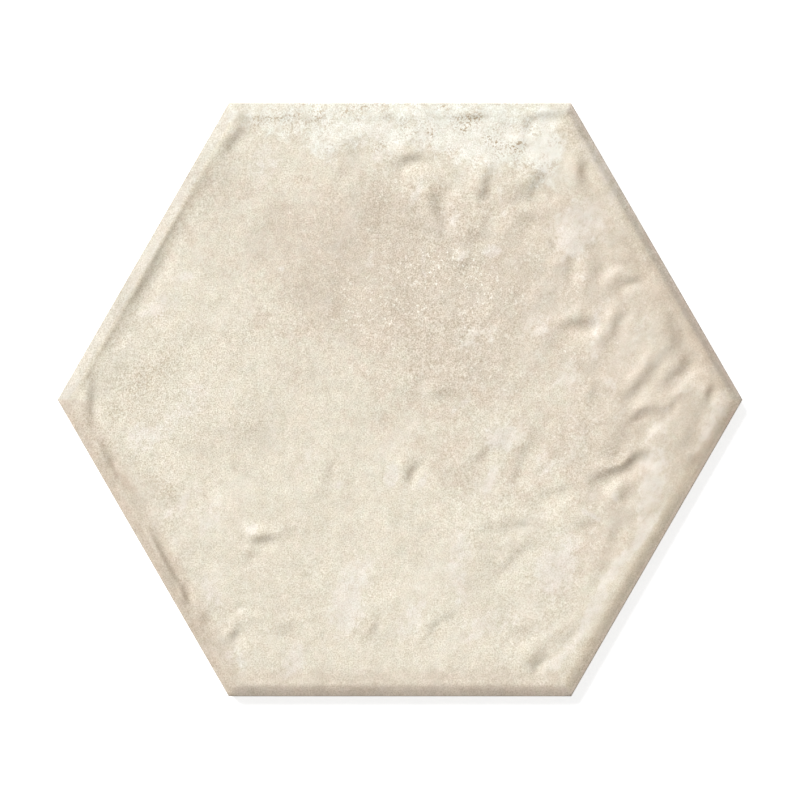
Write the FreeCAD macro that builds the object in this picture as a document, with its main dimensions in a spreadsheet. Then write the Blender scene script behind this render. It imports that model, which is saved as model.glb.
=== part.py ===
import FreeCAD, Part
import math
import os
import Sketcher
from collections import namedtuple

# A hexagonal porcelain floor tile, pressed and fired as one piece.
# The face has a cushioned edge, a low rim inside it, a field that lies a little lower, and the
# folds, dents and swells of a hand-worked slab. The sides are a plain band with a skirt that draws
# in below it, and the back has rings of shallow keying cells between ribs, for the adhesive.
# Millimetres, +Z up: the origin is the middle of the back, two corners lie on X, two flats on Y.

SIZES = {
    "across_flats": 200.0,  # width from one side to the opposite side
    "thickness": 9.0,  # from the back to the crest of the rim
    "cushion_width": 4.6,  # how far in from the side the face starts to roll down
    "cushion_drop": 1.5,  # how far the face has dropped where it meets the side
    "cushion_straight": 1.4,  # width of the straight slope next to the side
    "rim_width": 3.2,  # from the side to where the face starts to fall to the field
    "rim_fall": 2.6,  # width of that fall
    "field_dip": 0.32,  # how far the field lies below the rim at the left, and level at the right
    "stroke_gain": 1.3,  # how much deeper the strokes are than they are drawn, as a factor
    "stroke_spread": 0.8,  # how much the glaze adds to the half length and width of a field stroke
    "mitre_blend": 0.5,  # softening of the mitre at each corner of the face
    "skirt_height": 5.0,  # height of the part of the side that draws in
    "skirt_inset": 0.4,  # how far it draws in, at the back
    "back_arris": 0.5,  # chamfer round the back
    "cell_pitch": 16.2,  # from one keying cell to the next
    "rib_width": 3.0,  # width of the rib between two cells
    "cell_depth": 0.7,  # depth of a cell
    "back_border": 7.5,  # least plain land between the cells and the side
    "spare_height": 1.5,  # clay above the rim that the punch presses away
    "punch_overrun": 2.0,  # how far the punch stands out past the side
}

# One stroke in the face: its middle, the turn of its long axis from +X in degrees, its half length
# and half width, its height (negative where it is a dent) and its fold, which raises the left of
# the axis and lowers the right by up to that much. They are placed on a tile DRAWN_ACROSS wide.
Stroke = namedtuple("Stroke", "x y turn length width height fold")
DRAWN_ACROSS = 200.0

RIM_STROKES = [
    # the groove inside the left rim, from the top round the left corner to the bottom
    Stroke(-56.0, 88.0, 58.0, 4.8, 3.0, 0.0, 0.40),
    Stroke(-65.4, 74.6, 57.0, 8.0, 2.8, 0.0, 0.12),
    Stroke(-76.6, 57.0, 60.0, 14.0, 3.2, 0.0, 0.26),
    Stroke(-84.8, 41.8, 60.0, 14.0, 3.6, 0.0, 0.44),
    Stroke(-96.2, 21.6, 62.0, 8.0, 3.2, 0.0, 0.22),
    Stroke(-104.2, 1.0, 88.0, 10.0, 2.6, 0.0, 0.30),
    Stroke(-99.0, -19.5, 117.0, 5.4, 2.4, 0.0, 0.36),
    Stroke(-81.4, -49.5, 117.0, 5.0, 2.2, 0.0, 0.34),
    Stroke(-77.4, -57.0, 121.0, 5.0, 2.0, 0.0, 0.42),
    Stroke(-72.6, -65.5, 114.0, 3.4, 1.9, 0.0, 0.46),
    # the fold into the top right corner, and the broad swell inside the lower right rim
    Stroke(50.0, 96.0, 5.0, 7.0, 2.4, 0.0, 0.26),
    Stroke(24.0, 95.2, 2.0, 5.0, 2.0, 0.0, 0.16),
    Stroke(42.4, 92.0, 72.0, 3.8, 2.4, 0.0, 0.24),
    Stroke(97.0, -12.5, 55.0, 4.5, 3.2, 0.0, 0.24),
    Stroke(97.5, -24.5, 60.0, 8.0, 3.5, -0.25, 0.0),
    Stroke(73.6, -57.0, 57.0, 34.0, 4.6, 0.30, 0.0),
    Stroke(54.0, -90.0, 52.0, 6.0, 4.6, 0.16, 0.0),
]

FIELD_STROKES = [
    # broad swells between the folds
    Stroke(47.5, 85.0, 95.0, 7.5, 5.4, 0.36, 0.0),
    Stroke(19.5, 64.0, 100.0, 7.0, 3.4, 0.20, 0.0),
    Stroke(35.0, 70.0, 85.0, 7.0, 3.2, 0.20, 0.0),
    Stroke(53.5, 70.0, 75.0, 7.0, 4.4, 0.14, 0.0),
    Stroke(70.0, 54.0, 40.0, 9.0, 5.0, 0.20, 0.0),
    Stroke(73.5, 42.6, 25.0, 5.5, 3.2, 0.18, 0.0),
    Stroke(58.0, 52.0, 80.0, 5.5, 3.8, 0.20, 0.0),
    Stroke(62.0, 36.5, 60.0, 5.5, 4.0, 0.20, 0.0),
    Stroke(80.5, 31.0, 40.0, 7.0, 5.0, 0.26, 0.0),
    Stroke(67.5, 20.5, 65.0, 7.0, 4.2, 0.26, 0.0),
    Stroke(84.5, 18.0, 65.0, 9.0, 5.0, 0.36, 0.0),
    Stroke(73.0, 5.0, 60.0, 6.0, 4.4, 0.16, 0.0),
    Stroke(98.0, 6.0, 50.0, 8.0, 5.0, 0.22, 0.0),
    Stroke(88.0, 1.5, 60.0, 4.0, 3.0, 0.10, 0.0),
    Stroke(91.0, -11.0, 35.0, 10.0, 5.0, 0.26, 0.0),
    Stroke(84.0, -31.0, 60.0, 11.0, 5.0, 0.20, 0.0),
    Stroke(60.5, -10.5, 10.0, 7.0, 4.4, 0.08, 0.0),
    Stroke(62.0, -37.0, 165.0, 8.0, 4.0, 0.12, 0.0),
    Stroke(34.0, -13.0, 60.0, 7.0, 5.0, 0.12, 0.0),
    Stroke(51.0, 21.5, 60.0, 5.0, 4.0, 0.12, 0.0),
    # folds below the top edge
    Stroke(-16.0, 85.0, 40.0, 5.0, 3.6, 0.0, 0.12),
    Stroke(3.0, 81.6, 22.0, 4.2, 3.0, 0.0, 0.42),
    Stroke(41.0, 85.8, 10.0, 3.6, 2.4, 0.0, 0.28),
    Stroke(61.3, 77.2, 93.0, 4.8, 2.4, 0.0, 0.48),
    Stroke(12.2, 68.4, 95.0, 4.0, 4.2, 0.0, 0.42),
    Stroke(13.4, 61.0, 100.0, 5.4, 3.0, 0.0, 0.28),
    Stroke(29.8, 73.2, 84.0, 4.4, 3.4, 0.0, 0.44),
    Stroke(28.6, 70.6, 45.0, 2.6, 1.8, 0.0, 0.20),
    Stroke(27.6, 62.5, 85.0, 5.6, 3.6, 0.0, 0.16),
    Stroke(26.8, 55.5, 40.0, 3.6, 2.8, 0.0, 0.12),
    Stroke(45.0, 71.4, 30.0, 6.4, 3.6, 0.0, 0.48),
    Stroke(42.6, 60.0, 40.0, 4.8, 3.4, 0.0, 0.26),
    Stroke(20.5, 45.2, 35.0, 3.6, 2.8, 0.0, 0.16),
    Stroke(32.0, 51.0, 60.0, 4.0, 3.4, 0.08, 0.0),
    # folds of the right side, from the top down
    Stroke(50.8, 53.2, 110.0, 5.0, 2.6, 0.0, 0.22),
    Stroke(56.4, 45.0, 75.0, 3.8, 2.8, 0.0, 0.34),
    Stroke(65.5, 45.0, 97.0, 6.5, 3.0, 0.0, 0.34),
    Stroke(74.0, 46.2, 10.0, 3.8, 2.2, 0.0, 0.16),
    Stroke(77.8, 46.6, 115.0, 3.6, 2.2, 0.0, 0.14),
    Stroke(75.0, 38.8, 32.0, 4.8, 2.2, 0.0, 0.32),
    Stroke(49.0, 34.7, 60.0, 4.2, 3.2, 0.0, 0.20),
    Stroke(60.2, 26.6, 20.0, 4.6, 3.0, 0.0, 0.56),
    Stroke(72.2, 26.4, 68.0, 6.0, 2.2, 0.0, 0.38),
    Stroke(51.0, 20.7, 60.0, 4.4, 3.4, 0.0, 0.14),
    Stroke(90.4, 24.5, 105.0, 4.4, 3.4, 0.0, 0.38),
    Stroke(92.0, 18.6, 75.0, 5.0, 3.8, 0.0, 0.42),
    Stroke(95.6, 13.2, 60.0, 4.2, 3.2, 0.0, 0.40),
    Stroke(91.2, 7.4, 42.0, 4.8, 3.0, 0.0, 0.36),
    Stroke(85.0, 10.2, 68.0, 3.6, 2.2, 0.0, 0.42),
    Stroke(80.4, 4.8, 36.0, 3.8, 2.0, 0.0, 0.38),
    Stroke(66.2, 2.0, 100.0, 3.2, 2.0, 0.0, 0.32),
    Stroke(63.0, 8.0, 110.0, 3.6, 2.8, 0.0, 0.16),
    Stroke(81.6, -5.8, 26.0, 4.0, 2.2, 0.0, 0.44),
    Stroke(91.0, -2.0, 27.0, 7.0, 1.6, 0.0, 0.18),
    Stroke(104.6, 2.6, 72.0, 2.2, 1.4, 0.0, 0.34),
    Stroke(99.0, -4.5, 62.0, 4.2, 2.8, 0.0, 0.12),
    Stroke(73.0, -13.5, 80.0, 5.6, 4.4, 0.0, 0.22),
    Stroke(77.8, -20.6, 40.0, 4.2, 2.2, 0.0, 0.46),
    Stroke(70.0, -25.0, 27.0, 6.0, 2.4, 0.0, 0.46),
    Stroke(75.6, -31.8, 65.0, 3.2, 2.0, 0.0, 0.36),
    Stroke(65.0, -30.6, 90.0, 4.6, 2.8, 0.0, 0.18),
    Stroke(72.4, -42.6, 52.0, 4.8, 3.0, 0.0, 0.22),
    Stroke(68.8, -53.0, 72.0, 6.4, 3.0, 0.0, 0.13),
    Stroke(65.0, -64.0, 66.0, 6.0, 3.0, 0.0, 0.10),
    # folds that run out to the left of them
    Stroke(42.6, -15.5, 60.0, 5.0, 3.0, 0.0, 0.24),
    Stroke(38.6, -24.5, 75.0, 4.4, 2.8, 0.0, 0.18),
    Stroke(26.8, -19.0, 70.0, 3.4, 2.8, 0.0, 0.26),
    Stroke(51.5, -31.2, 22.0, 6.5, 2.8, 0.0, 0.20),
    Stroke(38.4, -41.9, 8.0, 6.0, 3.0, 0.0, 0.26),
    Stroke(61.0, -42.4, 15.0, 6.5, 3.0, 0.0, 0.14),
    Stroke(42.4, -49.0, 35.0, 5.0, 3.0, 0.0, 0.18),
    Stroke(35.0, -56.5, 50.0, 5.0, 3.0, 0.0, 0.14),
    Stroke(27.6, -48.0, 85.0, 6.0, 3.0, 0.0, 0.08),
    Stroke(57.2, -77.4, 44.0, 4.2, 2.2, 0.0, 0.22),
    Stroke(51.2, -82.2, 44.0, 4.0, 2.6, 0.0, 0.16),
    Stroke(45.8, -87.4, 50.0, 3.2, 2.8, 0.0, 0.36),
    Stroke(42.7, -78.2, 30.0, 4.2, 3.0, 0.0, 0.12),
    # single marks on the smooth part: a fold, a pimple and small folds
    Stroke(3.4, -24.0, 74.0, 3.0, 1.8, 0.0, 0.34),
    Stroke(-49.4, -44.2, 25.0, 2.6, 1.7, 0.50, 0.0),
    Stroke(-46.2, -46.6, 8.0, 3.6, 1.8, 0.0, 0.30),
    Stroke(-50.6, -52.3, 30.0, 3.4, 2.8, 0.0, 0.14),
    Stroke(5.4, 6.0, 60.0, 4.4, 3.0, 0.0, 0.14),
    Stroke(14.0, 2.0, 10.0, 4.6, 3.4, 0.0, 0.14),
    Stroke(-25.0, -26.0, 75.0, 6.4, 3.0, 0.0, 0.12),
    Stroke(-10.0, -77.5, 65.0, 3.8, 2.4, 0.0, 0.22),
    Stroke(-9.0, -62.0, 20.0, 4.0, 2.6, 0.0, 0.10),
    Stroke(12.0, -75.0, 45.0, 6.6, 3.2, 0.0, 0.20),
    Stroke(-56.2, -78.8, 40.0, 2.6, 2.0, 0.0, 0.36),
    Stroke(-53.4, -73.0, 176.0, 5.0, 1.2, 0.0, 0.16),
    Stroke(-66.5, -74.5, 60.0, 3.0, 2.4, 0.0, 0.20),
    Stroke(-37.0, -77.0, 10.0, 4.0, 2.6, 0.0, 0.12),
    Stroke(-36.0, -44.6, 10.0, 5.0, 2.6, 0.0, 0.10),
    Stroke(-95.0, 10.0, 70.0, 5.0, 4.0, 0.0, 0.10),
]

# The slow swell of the whole face: its height, its wavelength and its heading in degrees.
Swell = namedtuple("Swell", "height wavelength heading")
SWELLS = [
    Swell(0.05, 78.0, 25.0),
    Swell(0.04, 54.0, 110.0),
    Swell(0.025, 37.0, 160.0),
]

SIDES = 6
RHOMBS = 3  # the punch is three rhombs that meet in the middle, each over two of the sides
DEGREE = 3
FIELD_SPAN = 2.0  # longest spline span in the field
EDGE_SPAN = 1.0  # longest one near a side and near a seam
EDGE_ZONE = 9.0  # how far in from the side the short spans reach
SEAM_ZONE = 3.0  # how far from a seam they reach
STROKE_REACH = 3.0  # a stroke is nothing past this many of its half widths


def add_sheet(doc):
    """The sheet of driving sizes, one named cell each."""
    sheet = doc.addObject("Spreadsheet::Sheet", "Sizes")
    for row, (alias, value) in enumerate(SIZES.items(), start=1):
        sheet.set(f"A{row}", alias)
        sheet.set(f"B{row}", str(value))
        sheet.setAlias(f"B{row}", alias)
    doc.recompute()
    return sheet


def add_sketch(body, name):
    """A sketch on the plane of the back."""
    sketch = body.newObject("Sketcher::SketchObject", name)
    plane = next(f for f in body.Origin.OriginFeatures if f.Role == "XY_Plane")
    sketch.AttachmentSupport = [(plane, "")]
    sketch.MapMode = "FlatFace"
    return sketch


def draw_hexagon(sketch, centre_x, apothem, first_corner, level):
    """A regular hexagon about a circle; level names the constraint that holds its last side."""
    radius = apothem / math.cos(math.pi / SIDES)
    corners = []
    for k in range(SIDES):
        angle = math.radians(first_corner) + k * 2 * math.pi / SIDES
        x = centre_x + radius * math.cos(angle)
        corners.append(FreeCAD.Vector(x, radius * math.sin(angle), 0))
    lines = [Part.LineSegment(corners[k - 1], corners[k]) for k in range(SIDES)]
    sides = sketch.addGeometry(lines, False)
    circle = Part.Circle(FreeCAD.Vector(centre_x, 0, 0), FreeCAD.Vector(0, 0, 1), radius)
    ring = sketch.addGeometry(circle, True)
    for k in range(SIDES):
        sketch.addConstraint(Sketcher.Constraint("Coincident", sides[k - 1], 2, sides[k], 1))
        sketch.addConstraint(Sketcher.Constraint("PointOnObject", sides[k], 2, ring))
    for side in sides[1:]:
        sketch.addConstraint(Sketcher.Constraint("Equal", sides[0], side))
    sketch.addConstraint(Sketcher.Constraint(level, sides[0]))
    width = sketch.addConstraint(Sketcher.Constraint("Distance", ring, 3, sides[0], apothem))
    sketch.renameConstraint(width, "apothem")
    return ring


def press_blank(doc):
    """The blank: a hexagonal slab with its skirt and back arris."""
    body = doc.addObject("PartDesign::Body", "Blank")
    outline = add_sketch(body, "Outline")
    ring = draw_hexagon(outline, 0.0, SIZES["across_flats"] / 2, 120.0, "Horizontal")
    outline.addConstraint(Sketcher.Constraint("Coincident", ring, 3, -1, 1))
    outline.setExpression("Constraints.apothem", "Sizes.across_flats / 2")
    slab = body.newObject("PartDesign::Pad", "Slab")
    slab.Profile = outline
    slab.setExpression("Length", "Sizes.thickness + Sizes.spare_height")
    doc.recompute()
    skirt = add_chamfer(body, slab, "Skirt")
    skirt.ChamferType = "Two distances"
    skirt.setExpression("Size", "Sizes.skirt_height")
    skirt.setExpression("Size2", "Sizes.skirt_inset")
    doc.recompute()
    arris = add_chamfer(body, skirt, "BackArris")
    arris.setExpression("Size", "Sizes.back_arris")
    doc.recompute()
    return body


def add_chamfer(body, feature, name):
    """A chamfer along the edges of the feature that lie in the plane of the back."""
    edges = feature.Shape.Edges
    back = [f"Edge{n}" for n, edge in enumerate(edges, start=1) if edge.BoundBox.ZMax < 1e-6]
    chamfer = body.newObject("PartDesign::Chamfer", name)
    chamfer.Base = (feature, back)
    return chamfer


def press_keying(doc, body):
    """Rings of keying cells round the middle of the back: a rhomb of cells, turned three times."""
    cell = add_sketch(body, "Cell")
    pitch = SIZES["cell_pitch"]
    ring = draw_hexagon(cell, pitch, (pitch - SIZES["rib_width"]) / 2, 30.0, "Vertical")
    cell.addConstraint(Sketcher.Constraint("PointOnObject", ring, 3, -1))
    reach = cell.addConstraint(Sketcher.Constraint("DistanceX", -1, 1, ring, 3, pitch))
    cell.renameConstraint(reach, "pitch")
    turned = FreeCAD.Vector(pitch * math.cos(2 * math.pi / 3), pitch * math.sin(2 * math.pi / 3), 0)
    lattice = cell.addGeometry(Part.LineSegment(FreeCAD.Vector(), turned), True)
    cell.addConstraint(Sketcher.Constraint("Coincident", lattice, 1, -1, 1))
    cell.addConstraint(Sketcher.Constraint("Distance", lattice, pitch))
    cell.addConstraint(Sketcher.Constraint("Angle", -1, 1, lattice, 1, 2 * math.pi / 3))
    cell.setExpression("Constraints.apothem", "(Sizes.cell_pitch - Sizes.rib_width) / 2")
    cell.setExpression("Constraints.pitch", "Sizes.cell_pitch")
    pocket = body.newObject("PartDesign::Pocket", "KeyingCell")
    pocket.Profile = cell
    pocket.Reversed = True
    pocket.setExpression("Length", "Sizes.cell_depth")
    doc.recompute()
    cells = body.newObject("PartDesign::MultiTransform", "KeyingCells")
    cells.Originals = [pocket]
    rings = (
        "floor((Sizes.across_flats / 2 - Sizes.back_border"
        " - (Sizes.cell_pitch - Sizes.rib_width) / sqrt(3)) / (Sizes.cell_pitch * cos(30)))"
    )
    along = add_row(body, cell, "H_Axis", rings, "CellsAlong")
    across = add_row(body, cell, "Axis0", rings + " + 1", "CellsAcross")
    turns = body.newObject("PartDesign::PolarPattern", "CellTurns")
    turns.Axis = (cell, ["N_Axis"])
    turns.Occurrences = RHOMBS
    cells.Transformations = [along, across, turns]
    body.Tip = cells
    doc.recompute()


def add_row(body, cell, axis, count, name):
    """One linear pattern of the keying cell along an axis of its sketch."""
    row = body.newObject("PartDesign::LinearPattern", name)
    row.Direction = (cell, [axis])
    row.Mode = "Spacing"
    row.setExpression("Offset", "Sizes.cell_pitch")
    row.setExpression("Occurrences", count)
    return row


def depth_inside(x, y, sizes):
    """Distance in from the nearest side, a little softened at the mitres."""
    blend = sizes.mitre_blend
    total = 0.0
    for k in range(SIDES):
        normal = math.radians(30.0 + 60.0 * k)
        inside = sizes.across_flats / 2 - x * math.cos(normal) - y * math.sin(normal)
        total += math.exp(-inside / blend)
    return -blend * math.log(total)


def cushion(inside, sizes):
    """How far the rolled edge has dropped: curved, then straight next to the side."""
    curve = sizes.cushion_width - sizes.cushion_straight
    into = sizes.cushion_width - inside
    if into <= 0.0:
        return 0.0
    drop = into - curve / 2 if into > curve else into * into / (2 * curve)
    return sizes.cushion_drop * drop / (sizes.cushion_width - curve / 2)


def fall(inside, x, sizes):
    """How far the face has fallen from the rim to the field, most at the left corner."""
    corner = sizes.across_flats / 2 / math.cos(math.pi / SIDES)
    past_rim = max(inside - sizes.rim_width, 0.0) / sizes.rim_fall
    return sizes.field_dip * (1 - x / corner) / 2 * (1 - math.exp(-past_rim * past_rim))


def stroke_height(stroke, x, y, spread):
    """What one stroke adds at a point, before the gain."""
    turn = math.radians(stroke.turn)
    along = ((x - stroke.x) * math.cos(turn) + (y - stroke.y) * math.sin(turn)) / (stroke.length + spread)
    left = ((y - stroke.y) * math.cos(turn) - (x - stroke.x) * math.sin(turn)) / (stroke.width + spread)
    if abs(along) > STROKE_REACH or abs(left) > STROKE_REACH:
        return 0.0
    fade = math.exp(-along * along - left * left)
    return (stroke.height + stroke.fold * left * math.sqrt(2 * math.e)) * fade


def swell_height(swell, x, y):
    """What one swell adds at a point."""
    heading = math.radians(swell.heading)
    travel = x * math.cos(heading) + y * math.sin(heading)
    return swell.height * math.sin(2 * math.pi * travel / swell.wavelength)


def face_height(x, y, sizes):
    """Height of the face of the tile above its back."""
    inside = depth_inside(x, y, sizes)
    on_rim = min(max(inside / sizes.rim_width, 0.0), 1.0)
    in_field = min(max((inside - sizes.rim_width) / sizes.rim_fall, 0.0), 1.0)
    grown = sizes.across_flats / DRAWN_ACROSS
    x_drawn = x / grown
    y_drawn = y / grown
    rim_relief = sum(stroke_height(s, x_drawn, y_drawn, 0.0) for s in RIM_STROKES)
    field_relief = sum(stroke_height(s, x_drawn, y_drawn, sizes.stroke_spread) for s in FIELD_STROKES)
    swell = sum(swell_height(s, x, y) for s in SWELLS)
    relief = on_rim * rim_relief + in_field * field_relief
    face = sizes.thickness - cushion(inside, sizes) - fall(inside, x, sizes)
    return face + in_field * swell + sizes.stroke_gain * relief


def spaced(start, stop, span):
    """Even steps from start up to, not including, stop, none longer than span."""
    count = math.ceil((stop - start) / span)
    return [start + (stop - start) * n / count for n in range(count)]


def knot_line(sizes):
    """Knots from the middle of the tile out past its side, as distances across."""
    side = sizes.across_flats / 2
    knots = spaced(0.0, SEAM_ZONE, EDGE_SPAN)
    knots += spaced(SEAM_ZONE, side - EDGE_ZONE, FIELD_SPAN)
    knots += spaced(side - EDGE_ZONE, side + sizes.punch_overrun, EDGE_SPAN)
    return knots + [side + sizes.punch_overrun]


def pole_line(knots):
    """Where along the knots each pole stands, so that straight lines stay straight."""
    padded = [knots[0]] * DEGREE + knots + [knots[-1]] * DEGREE
    return [sum(padded[n + 1 : n + 1 + DEGREE]) / DEGREE for n in range(len(knots) + DEGREE - 1)]


def punch_face(turn, sizes):
    """One rhomb of the punch: from the middle out along the corners at turn and turn + 120."""
    knots = knot_line(sizes)
    steps = pole_line(knots)
    stretch = 1 / math.cos(math.pi / SIDES)
    ray = [stretch * math.cos(math.radians(turn)), stretch * math.sin(math.radians(turn))]
    far = math.radians(turn + 120.0)
    other = [stretch * math.cos(far), stretch * math.sin(far)]
    poles = []
    for out in steps:
        row = []
        for over in steps:
            x = out * ray[0] + over * other[0]
            y = out * ray[1] + over * other[1]
            row.append(FreeCAD.Vector(x, y, face_height(x, y, sizes)))
        poles.append(row)
    ends = [DEGREE + 1] + [1] * (len(knots) - 2) + [DEGREE + 1]
    surface = Part.BSplineSurface()
    surface.buildFromPolesMultsKnots(poles, ends, ends, knots, knots, False, False, DEGREE, DEGREE)
    return surface.toShape()


def make_punch(doc, sheet):
    """The punch that presses the face: its underside is the face, drawn up past the slab."""
    lift = FreeCAD.Vector(0, 0, 2 * sheet.spare_height + sheet.cushion_drop)
    blocks = [punch_face(360.0 * n / RHOMBS, sheet).extrude(lift) for n in range(RHOMBS)]
    punch = doc.addObject("Part::Feature", "Punch")
    punch.Shape = Part.makeCompound(blocks)
    return punch


def press_tile(doc, body, punch):
    """The tile: the blank with its face pressed by the punch."""
    tile = doc.addObject("Part::Cut", "HexagonTile")
    tile.Base = body
    tile.Tool = punch
    tile.Label = "hexagon_tile"
    doc.recompute()
    return tile


def check(doc, tile):
    """Stops where a feature has not built or the tile is not one sound solid."""
    for thing in doc.Objects:
        if "Invalid" in thing.State or "Error" in thing.State:
            raise RuntimeError(f"{thing.Name} did not build: {thing.State}")
    if tile.Shape.isNull() or not tile.Shape.isValid():
        raise RuntimeError(f"{tile.Label} has no sound shape")
    if len(tile.Shape.Solids) != 1:
        raise RuntimeError(f"{tile.Label} is {len(tile.Shape.Solids)} solids, not one")


def write_part(tile):
    """Writes the tile as its STEP file."""
    os.makedirs("parts", exist_ok=True)
    tile.Shape.exportStep(f"parts/{tile.Label}.step")


def build():
    """Builds the document and writes the part."""
    doc = FreeCAD.newDocument("hexagon_tile")
    sheet = add_sheet(doc)
    body = press_blank(doc)
    press_keying(doc, body)
    punch = make_punch(doc, sheet)
    tile = press_tile(doc, body, punch)
    check(doc, tile)
    write_part(tile)


build()
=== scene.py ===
import math
from collections import namedtuple
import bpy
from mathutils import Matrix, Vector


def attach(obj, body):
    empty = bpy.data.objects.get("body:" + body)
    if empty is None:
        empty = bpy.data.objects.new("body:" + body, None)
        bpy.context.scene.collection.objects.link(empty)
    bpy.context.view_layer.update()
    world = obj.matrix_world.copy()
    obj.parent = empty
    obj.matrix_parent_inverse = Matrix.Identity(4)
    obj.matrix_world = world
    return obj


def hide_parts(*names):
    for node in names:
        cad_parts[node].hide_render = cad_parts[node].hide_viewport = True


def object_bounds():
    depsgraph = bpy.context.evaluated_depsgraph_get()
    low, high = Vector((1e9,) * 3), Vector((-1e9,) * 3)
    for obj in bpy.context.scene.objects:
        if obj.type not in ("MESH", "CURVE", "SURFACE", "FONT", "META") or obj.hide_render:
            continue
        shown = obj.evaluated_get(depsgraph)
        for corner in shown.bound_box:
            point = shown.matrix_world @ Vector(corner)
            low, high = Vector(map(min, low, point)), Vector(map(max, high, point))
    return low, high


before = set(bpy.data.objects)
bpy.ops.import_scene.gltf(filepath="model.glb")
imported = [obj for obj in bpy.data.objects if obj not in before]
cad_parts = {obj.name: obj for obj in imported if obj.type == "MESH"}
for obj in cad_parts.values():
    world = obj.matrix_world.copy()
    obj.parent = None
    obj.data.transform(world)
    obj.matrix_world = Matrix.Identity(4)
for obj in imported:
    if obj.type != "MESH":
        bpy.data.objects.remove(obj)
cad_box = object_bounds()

from types import SimpleNamespace

import bmesh
import bpy
import numpy as np
from mathutils import Vector, noise

# Sizes in millimetres, as in the part's source.
MM = 0.001
HALF = 100.0  # from the middle to a side
COS_30 = math.cos(math.pi / 6)
CORNER = HALF / COS_30
THICKNESS = 9.0
CUSHION_WIDTH = 4.6
CUSHION_DROP = 1.5
CUSHION_STRAIGHT = 1.4
RIM_WIDTH = 3.2
RIM_FALL = 2.6
FIELD_DIP = 0.32
STROKE_GAIN = 1.3
STROKE_SPREAD = 0.8
MITRE_BLEND = 0.5
SKIRT_HEIGHT = 5.0
SKIRT_INSET = 0.4
BACK_ARRIS = 0.5
CELL_PITCH = 16.2
CELL_RIB = 3.0
CELL_RINGS = 6
CELL_APOTHEM = (CELL_PITCH - CELL_RIB) / 2
CELL_DEPTH = 0.7

# Sizes that only the scene has.
ARRIS = 0.45  # radius of the glazed arris round the face
GLAZE_LINE = 6.35  # height at which the glaze ends on the side
GLAZE_WAVER = 0.5  # how far that line goes up and down
GLAZE_WAVE = 11.0  # and how long its waves are
GLAZE_END = 0.25  # height of each half of the step where the glaze ends
GLAZE_BEAD = 0.07  # how far the glaze stands out from the bare body
MITRE_SOFTNESS = 0.8  # how far the tints of two sides run into each other
SHARP_ANGLE = 34.0  # an edge that turns by more than this many degrees is shown sharp

# The walls of a keying cell, from the back in: how far out from its outline, how deep, and the
# radius of its corners.
CELL_PROFILE = (
    (0.18, 0.0, 1.0),
    (0.02, 0.07, 0.95),
    (-0.12, CELL_DEPTH - 0.2, 0.85),
    (-0.4, CELL_DEPTH, 0.7),
)

# The grid of the face: how far out its lines reach on the field and on the cushion, how many
# there are, and the distance of the last ones from the side.
FIELD_REACH = 94.0
FIELD_LINES = 135
CUSHION_REACH = 99.4
CUSHION_LINES = 14
ARRIS_LINES = (0.45, 0.32, 0.2, 0.1, 0.03, 0.0)

# Layers of Perlin noise: how strong each is, how wide its grain is, and its seed.
Layer = namedtuple("Layer", "strength size seed")
WAVER_X = (Layer(2.4, 7.0, 11.5), Layer(0.35, 3.2, 12.5))
WAVER_Y = (Layer(2.4, 7.0, 21.5), Layer(0.35, 3.2, 22.5))
LUMPS = (Layer(0.16, 9.0, 3.1), Layer(0.08, 5.0, 7.7))
PEEL = (Layer(0.035, 2.4, 1.3), Layer(0.016, 1.3, 9.2))
RAGGED_X = (Layer(9.0, 14.0, 31.0), Layer(4.0, 5.0, 32.0))
RAGGED_Y = (Layer(9.0, 14.0, 41.0), Layer(4.0, 5.0, 42.0))

FADED_OUT = 40.0  # the power of e at which a soft edge is cut off
FAR_IN = 60.0  # farther in than this, a side no longer counts

# The strokes in the face: middle, turn of the long axis, half length, half width, height, fold.
Stroke = namedtuple("Stroke", "x y turn length width height fold")

RIM_STROKES = [Stroke(*row) for row in (
    # the groove inside the left rim, from the top round the left corner to the bottom
    (-56, 88, 58, 4.8, 3, 0, 0.4),
    (-65.4, 74.6, 57, 8, 2.8, 0, 0.12),
    (-76.6, 57, 60, 14, 3.2, 0, 0.26),
    (-84.8, 41.8, 60, 14, 3.6, 0, 0.44),
    (-96.2, 21.6, 62, 8, 3.2, 0, 0.22),
    (-104.2, 1, 88, 10, 2.6, 0, 0.3),
    (-99, -19.5, 117, 5.4, 2.4, 0, 0.36),
    (-81.4, -49.5, 117, 5, 2.2, 0, 0.34),
    (-77.4, -57, 121, 5, 2, 0, 0.42),
    (-72.6, -65.5, 114, 3.4, 1.9, 0, 0.46),
    # the fold into the top right corner, and the broad swell inside the lower right rim
    (50, 96, 5, 7, 2.4, 0, 0.26),
    (24, 95.2, 2, 5, 2, 0, 0.16),
    (42.4, 92, 72, 3.8, 2.4, 0, 0.24),
    (97, -12.5, 55, 4.5, 3.2, 0, 0.24),
    (97.5, -24.5, 60, 8, 3.5, -0.25, 0),
    (73.6, -57, 57, 34, 4.6, 0.3, 0),
    (54, -90, 52, 6, 4.6, 0.16, 0),
)]

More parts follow.
